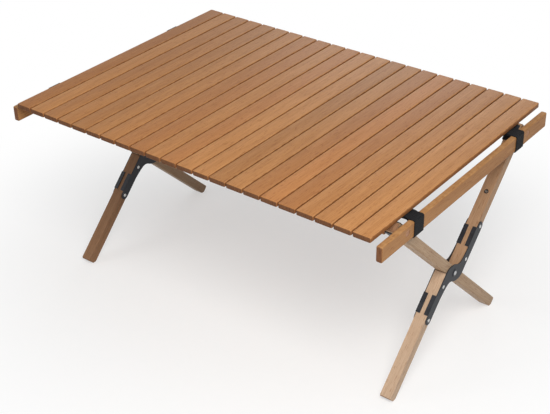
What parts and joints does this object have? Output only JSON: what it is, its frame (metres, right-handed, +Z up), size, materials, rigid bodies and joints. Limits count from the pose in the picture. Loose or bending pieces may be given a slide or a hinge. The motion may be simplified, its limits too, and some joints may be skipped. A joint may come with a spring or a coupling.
{
  "type": "folding camping table",
  "caption": "Low folding camping table with a rolling slatted wooden top on webbing, end rails and two crossed wooden leg frames with steel joint plates.",
  "frame": {"origin": "on the ground, under the middle of the table", "axes": "+X across the slats (the long way), +Y along the slats, +Z up"},
  "size_m": [0.878, 0.6, 0.4],
  "materials": {
    "slat_wood": "oiled beech",
    "rail_wood": "oiled beech",
    "leg_wood": "oiled beech",
    "black_steel": "black powder coat",
    "bright_steel": "zinc plated",
    "webbing": "woven webbing"
  },
  "bodies": {
    "base": {"rail_right": "rail_wood", "rail_left": "rail_wood", "stretcher_far": "rail_wood", "rail_bolt_right_near": "bright_steel", "rail_bolt_right_far": "bright_steel", "rail_bolt_left_near": "bright_steel", "rail_bolt_left_far": "bright_steel"},
    "legs_b": {"leg_b_upper_right": "leg_wood", "leg_b_lower_right": "leg_wood", "joint_plate_outer_right": "black_steel", "joint_plate_inner_right": "black_steel", "rivet_upper_inner_right": "bright_steel", "rivet_upper_outer_right": "bright_steel", "rivet_lower_inner_right": "bright_steel", "rivet_lower_outer_right": "bright_steel", "pivot_bolt_right": "bright_steel", "insert_nut_right": "black_steel", "leg_cap_right_far": "black_steel", "leg_b_upper_left": "leg_wood", "leg_b_lower_left": "leg_wood", "joint_plate_outer_left": "black_steel", "joint_plate_inner_left": "black_steel", "rivet_upper_inner_left": "bright_steel", "rivet_upper_outer_left": "bright_steel", "rivet_lower_inner_left": "bright_steel", "rivet_lower_outer_left": "bright_steel", "pivot_bolt_left": "bright_steel", "insert_nut_left": "black_steel", "leg_cap_left_far": "black_steel"},
    "legs_a": {"stretcher_near": "rail_wood", "leg_a_right": "leg_wood", "leg_a_left": "leg_wood", "leg_cap_right_near": "black_steel", "leg_cap_left_near": "black_steel"},
    "slat_01": {"slat_01": "slat_wood"},
    "slat_02": {"slat_02": "slat_wood"},
    "slat_03": {"slat_03": "slat_wood"},
    "slat_04": {"slat_04": "slat_wood"},
    "slat_05": {"slat_05": "slat_wood"},
    "slat_06": {"slat_06": "slat_wood"},
    "slat_07": {"slat_07": "slat_wood"},
    "slat_08": {"slat_08": "slat_wood"},
    "slat_09": {"slat_09": "slat_wood"},
    "slat_10": {"slat_10": "slat_wood"},
    "slat_11": {"slat_11": "slat_wood", "strap_near": "webbing", "strap_far": "webbing"},
    "slat_12": {"slat_12": "slat_wood"},
    "slat_13": {"slat_13": "slat_wood"},
    "slat_14": {"slat_14": "slat_wood"},
    "slat_15": {"slat_15": "slat_wood"},
    "slat_16": {"slat_16": "slat_wood"},
    "slat_17": {"slat_17": "slat_wood"},
    "slat_18": {"slat_18": "slat_wood"},
    "slat_19": {"slat_19": "slat_wood"},
    "slat_20": {"slat_20": "slat_wood"},
    "slat_21": {"slat_21": "slat_wood"},
    "slat_22": {"slat_22": "slat_wood"}
  },
  "joints": [
    {"name": "top_lift", "type": "slide", "parent": "base", "child": "slat_11", "axis": [0, 0, 1], "range_m": [0, 0.66], "deforming": ["strap_near", "strap_far"]},
    {"name": "leg_fold", "type": "hinge", "parent": "base", "child": "legs_b", "pos_m": [0, 0.217, 0.374], "axis": [1, 0, 0], "range_deg": [0, 42]},
    {"name": "leg_scissor", "type": "hinge", "parent": "legs_b", "child": "legs_a", "pos_m": [0, -0.01307, 0.175], "axis": [-1, 0, 0], "range_deg": [0, 84.9]},
    {"name": "roll_01", "type": "hinge", "parent": "slat_02", "child": "slat_01", "pos_m": [-0.38, 0, 0.3887], "axis": [0, -1, 0], "range_deg": [0, 14.1]},
    {"name": "roll_02", "type": "hinge", "parent": "slat_03", "child": "slat_02", "pos_m": [-0.342, 0, 0.3887], "axis": [0, -1, 0], "range_deg": [0, 14.1]},
    {"name": "roll_03", "type": "hinge", "parent": "slat_04", "child": "slat_03", "pos_m": [-0.304, 0, 0.3887], "axis": [0, -1, 0], "range_deg": [0, 14.1]},
    {"name": "roll_04", "type": "hinge", "parent": "slat_05", "child": "slat_04", "pos_m": [-0.266, 0, 0.3887], "axis": [0, -1, 0], "range_deg": [0, 14.1]},
    {"name": "roll_05", "type": "hinge", "parent": "slat_06", "child": "slat_05", "pos_m": [-0.228, 0, 0.3887], "axis": [0, -1, 0], "range_deg": [0, 14.1]},
    {"name": "roll_06", "type": "hinge", "parent": "slat_07", "child": "slat_06", "pos_m": [-0.19, 0, 0.3887], "axis": [0, -1, 0], "range_deg": [0, 14.1]},
    {"name": "roll_07", "type": "hinge", "parent": "slat_08", "child": "slat_07", "pos_m": [-0.152, 0, 0.3887], "axis": [0, -1, 0], "range_deg": [0, 14.1]},
    {"name": "roll_08", "type": "hinge", "parent": "slat_09", "child": "slat_08", "pos_m": [-0.114, 0, 0.3887], "axis": [0, -1, 0], "range_deg": [0, 14.1]},
    {"name": "roll_09", "type": "hinge", "parent": "slat_10", "child": "slat_09", "pos_m": [-0.076, 0, 0.3887], "axis": [0, -1, 0], "range_deg": [0, 14.1]},
    {"name": "roll_10", "type": "hinge", "parent": "slat_11", "child": "slat_10", "pos_m": [-0.038, 0, 0.3887], "axis": [0, -1, 0], "range_deg": [0, 14.1]},
    {"name": "roll_12", "type": "hinge", "parent": "slat_11", "child": "slat_12", "pos_m": [0, 0, 0.3887], "axis": [0, 1, 0], "range_deg": [0, 14.1]},
    {"name": "roll_13", "type": "hinge", "parent": "slat_12", "child": "slat_13", "pos_m": [0.038, 0, 0.3887], "axis": [0, 1, 0], "range_deg": [0, 14.1]},
    {"name": "roll_14", "type": "hinge", "parent": "slat_13", "child": "slat_14", "pos_m": [0.076, 0, 0.3887], "axis": [0, 1, 0], "range_deg": [0, 14.1]},
    {"name": "roll_15", "type": "hinge", "parent": "slat_14", "child": "slat_15", "pos_m": [0.114, 0, 0.3887], "axis": [0, 1, 0], "range_deg": [0, 14.1]},
    {"name": "roll_16", "type": "hinge", "parent": "slat_15", "child": "slat_16", "pos_m": [0.152, 0, 0.3887], "axis": [0, 1, 0], "range_deg": [0, 14.1]},
    {"name": "roll_17", "type": "hinge", "parent": "slat_16", "child": "slat_17", "pos_m": [0.19, 0, 0.3887], "axis": [0, 1, 0], "range_deg": [0, 14.1]},
    {"name": "roll_18", "type": "hinge", "parent": "slat_17", "child": "slat_18", "pos_m": [0.228, 0, 0.3887], "axis": [0, 1, 0], "range_deg": [0, 14.1]},
    {"name": "roll_19", "type": "hinge", "parent": "slat_18", "child": "slat_19", "pos_m": [0.266, 0, 0.3887], "axis": [0, 1, 0], "range_deg": [0, 14.1]},
    {"name": "roll_20", "type": "hinge", "parent": "slat_19", "child": "slat_20", "pos_m": [0.304, 0, 0.3887], "axis": [0, 1, 0], "range_deg": [0, 14.1]},
    {"name": "roll_21", "type": "hinge", "parent": "slat_20", "child": "slat_21", "pos_m": [0.342, 0, 0.3887], "axis": [0, 1, 0], "range_deg": [0, 14.1]},
    {"name": "roll_22", "type": "hinge", "parent": "slat_21", "child": "slat_22", "pos_m": [0.38, 0, 0.3887], "axis": [0, 1, 0], "range_deg": [0, 14.1]}
  ],
  "couplings": [
    {"joint": "leg_scissor", "follows": "leg_fold", "ratio": 2.0178},
    {"joint": "roll_01", "follows": "top_lift", "rad_per_m": 0.37022},
    {"joint": "roll_02", "follows": "top_lift", "rad_per_m": 0.37022},
    {"joint": "roll_03", "follows": "top_lift", "rad_per_m": 0.37022},
    {"joint": "roll_04", "follows": "top_lift", "rad_per_m": 0.37022},
    {"joint": "roll_05", "follows": "top_lift", "rad_per_m": 0.37022},
    {"joint": "roll_06", "follows": "top_lift", "rad_per_m": 0.37022},
    {"joint": "roll_07", "follows": "top_lift", "rad_per_m": 0.37022},
    {"joint": "roll_08", "follows": "top_lift", "rad_per_m": 0.37022},
    {"joint": "roll_09", "follows": "top_lift", "rad_per_m": 0.37022},
    {"joint": "roll_10", "follows": "top_lift", "rad_per_m": 0.37022},
    {"joint": "roll_12", "follows": "top_lift", "rad_per_m": 0.37022},
    {"joint": "roll_13", "follows": "top_lift", "rad_per_m": 0.37022},
    {"joint": "roll_14", "follows": "top_lift", "rad_per_m": 0.37022},
    {"joint": "roll_15", "follows": "top_lift", "rad_per_m": 0.37022},
    {"joint": "roll_16", "follows": "top_lift", "rad_per_m": 0.37022},
    {"joint": "roll_17", "follows": "top_lift", "rad_per_m": 0.37022},
    {"joint": "roll_18", "follows": "top_lift", "rad_per_m": 0.37022},
    {"joint": "roll_19", "follows": "top_lift", "rad_per_m": 0.37022},
    {"joint": "roll_20", "follows": "top_lift", "rad_per_m": 0.37022},
    {"joint": "roll_21", "follows": "top_lift", "rad_per_m": 0.37022},
    {"joint": "roll_22", "follows": "top_lift", "rad_per_m": 0.37022}
  ]
}
